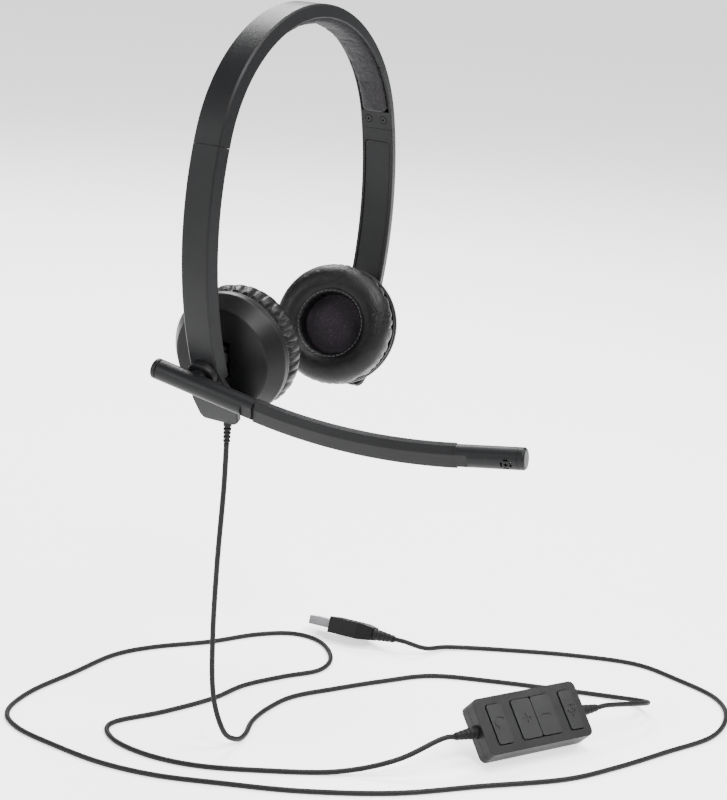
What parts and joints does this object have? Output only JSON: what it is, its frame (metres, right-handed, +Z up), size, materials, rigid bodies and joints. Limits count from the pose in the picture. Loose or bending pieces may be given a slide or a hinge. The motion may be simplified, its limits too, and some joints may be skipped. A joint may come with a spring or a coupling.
{
  "type": "office headset",
  "caption": "Stereo over-head office headset with swivelling ear cups, a turning boom microphone, an in-line key controller and a USB plug on its cord.",
  "frame": {"origin": "middle of the wearer's head, midway between the two ear-cup pivots", "axes": "+Z up to the top of the headband, +X towards the cup without the microphone, -Y the way the wearer faces and the boom points"},
  "size_m": [0.2804, 0.2804, 0.3375],
  "materials": {
    "arm_plastic": "fine satin texture, dark charcoal",
    "boom_plastic": "fine satin texture, dark charcoal",
    "cup_plastic": "satin, near black",
    "controller_plastic": "satin, near black",
    "key_plastic": "satin, near black",
    "plug_plastic": "matte moulded, near black",
    "black_insert": "plain moulded black",
    "cone_film": "thin formed film",
    "board": "green lacquered circuit board",
    "leatherette": "soft black leatherette, fine grain",
    "foam_cloth": "charcoal brushed knit over foam",
    "speaker_cloth": "thin black mesh cloth",
    "cord_jacket": "matte black cord jacket",
    "soft_rubber": "matte black moulded rubber",
    "spring_steel": "bright spring steel",
    "screw_steel": "zinc-plated steel",
    "plug_metal": "nickel-plated shell",
    "nickel": "nickel-plated",
    "contact_metal": "gold-plated contacts"
  },
  "bodies": {
    "near_arm": {"near_arm_shell": "arm_plastic", "near_arm_panel": "arm_plastic", "near_stud": "black_insert", "near_tab_cover": "arm_plastic", "tab_relief": "soft_rubber", "cord_upper": "cord_jacket", "cord_lower": "cord_jacket", "controller_top": "controller_plastic", "controller_bottom": "controller_plastic", "controller_board": "board", "key_switches": "nickel", "controller_left_relief": "soft_rubber", "controller_right_relief": "soft_rubber", "controller_screws": "screw_steel", "plug_shell": "plug_metal", "plug_tongue": "black_insert", "plug_contacts": "contact_metal", "plug_body": "plug_plastic", "plug_relief": "soft_rubber"},
    "headband": {"band_shell": "arm_plastic", "band_liner": "arm_plastic", "band_spring": "spring_steel", "near_slider": "spring_steel", "far_slider": "spring_steel", "band_pad": "foam_cloth", "band_screws": "screw_steel"},
    "far_arm": {"far_arm_shell": "arm_plastic", "far_arm_panel": "arm_plastic", "far_stud": "black_insert", "far_tab_cover": "arm_plastic"},
    "near_gimbal": {"near_gimbal": "black_insert"},
    "near_cup": {"near_cup_shell": "cup_plastic", "near_baffle": "cup_plastic", "near_driver_frame": "cup_plastic", "near_driver_magnet": "nickel", "near_driver_cone": "cone_film", "near_speaker_cloth": "speaker_cloth", "near_cushion": "leatherette"},
    "far_gimbal": {"far_gimbal": "black_insert"},
    "far_cup": {"far_cup_shell": "cup_plastic", "far_baffle": "cup_plastic", "far_driver_frame": "cup_plastic", "far_driver_magnet": "nickel", "far_driver_cone": "cone_film", "far_speaker_cloth": "speaker_cloth", "far_cushion": "leatherette"},
    "boom": {"boom_barrel": "boom_plastic", "boom_clip": "spring_steel", "boom_tail_cap": "boom_plastic", "boom_stem": "boom_plastic", "mic_body": "boom_plastic", "mic_element": "nickel", "mic_end_cap": "boom_plastic"},
    "answer_key": {"answer_key": "key_plastic"},
    "volume_up_key": {"volume_up_key": "key_plastic"},
    "volume_down_key": {"volume_down_key": "key_plastic"},
    "mute_key": {"mute_key": "key_plastic"}
  },
  "joints": [
    {"name": "near_size_slide", "type": "hinge", "parent": "near_arm", "child": "headband", "pos_m": [0.0908, 0, 0.05717], "axis": [0, 1, 0], "range_deg": [0, 9.5]},
    {"name": "far_size_slide", "type": "hinge", "parent": "headband", "child": "far_arm", "pos_m": [-0.0908, 0, 0.05717], "axis": [0, 1, 0], "range_deg": [0, 9.5]},
    {"name": "near_cup_swivel", "type": "hinge", "parent": "near_arm", "child": "near_gimbal", "pos_m": [-0.0475, 0, 0], "axis": [0, 0, 1], "range_deg": [-20, 5]},
    {"name": "near_cup_tilt", "type": "hinge", "parent": "near_gimbal", "child": "near_cup", "pos_m": [-0.0475, 0, 0], "axis": [-0.1045, 0.9945, 0], "range_deg": [-8, 2]},
    {"name": "far_cup_swivel", "type": "hinge", "parent": "far_arm", "child": "far_gimbal", "pos_m": [0.0475, 0, 0], "axis": [0, 0, 1], "range_deg": [-28, 2]},
    {"name": "far_cup_tilt", "type": "hinge", "parent": "far_gimbal", "child": "far_cup", "pos_m": [0.0475, 0, 0], "axis": [0.2419, -0.9703, 0], "range_deg": [-4, 5]},
    {"name": "boom_turn", "type": "hinge", "parent": "near_arm", "child": "boom", "pos_m": [-0.06186, 0, -0.00544], "axis": [-0.9252, 0, -0.3795], "range_deg": [-36, 222]},
    {"name": "answer_press", "type": "slide", "parent": "near_arm", "child": "answer_key", "axis": [0.2988, 0.6409, -0.7071], "range_m": [0, 0.0006], "stiffness_N_per_m": 1200},
    {"name": "volume_up_press", "type": "slide", "parent": "near_arm", "child": "volume_up_key", "axis": [0.2988, 0.6409, -0.7071], "range_m": [0, 0.0006], "stiffness_N_per_m": 1200},
    {"name": "volume_down_press", "type": "slide", "parent": "near_arm", "child": "volume_down_key", "axis": [0.2988, 0.6409, -0.7071], "range_m": [0, 0.0006], "stiffness_N_per_m": 1200},
    {"name": "mute_press", "type": "slide", "parent": "near_arm", "child": "mute_key", "axis": [0.2988, 0.6409, -0.7071], "range_m": [0, 0.0006], "stiffness_N_per_m": 1200}
  ]
}
